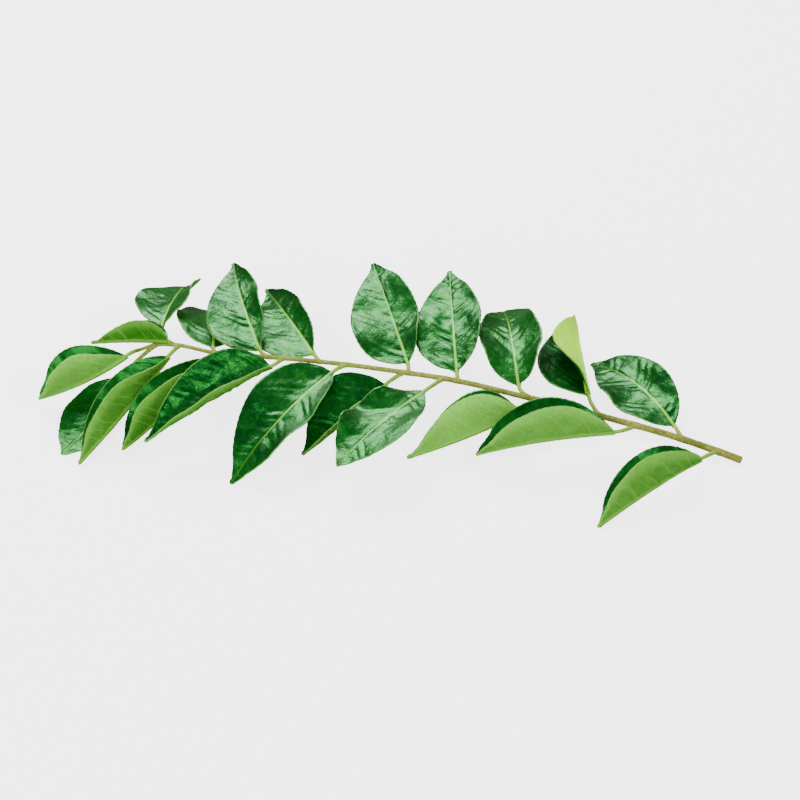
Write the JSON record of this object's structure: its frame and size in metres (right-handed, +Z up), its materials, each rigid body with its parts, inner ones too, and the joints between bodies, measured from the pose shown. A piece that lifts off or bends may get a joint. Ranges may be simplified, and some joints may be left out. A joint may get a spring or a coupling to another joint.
{
  "type": "curry leaf sprig",
  "caption": "Cut sprig of curry leaves: a slender olive-brown stem lying down, with glossy green pointed leaflets on short stalks along both sides and one at the tip.",
  "frame": {"origin": "centre of the sprig's footprint on the surface that it lies on", "axes": "+X along the stem towards its cut end, +Y towards the side of the leaflets named back, +Z up"},
  "size_m": [0.1964, 0.0914, 0.023],
  "materials": {
    "leaf": "waxy satin green, paler and matt underneath",
    "bark": "matt olive-brown, finely downy"
  },
  "bodies": {
    "root": {"stem": "bark", "leaflet_front_01": "leaf", "leaflet_front_02": "leaf", "leaflet_front_03": "leaf", "leaflet_front_04": "leaf", "leaflet_front_05": "leaf", "leaflet_front_06": "leaf", "leaflet_front_07": "leaf", "leaflet_front_08": "leaf", "leaflet_front_09": "leaf", "leaflet_front_10": "leaf", "leaflet_end": "leaf", "leaflet_back_01": "leaf", "leaflet_back_02": "leaf", "leaflet_back_03": "leaf", "leaflet_back_04": "leaf", "leaflet_back_05": "leaf", "leaflet_back_06": "leaf", "leaflet_back_07": "leaf", "leaflet_back_08": "leaf", "leaflet_back_09": "leaf", "leaflet_back_10": "leaf"}
  },
  "joints": []
}
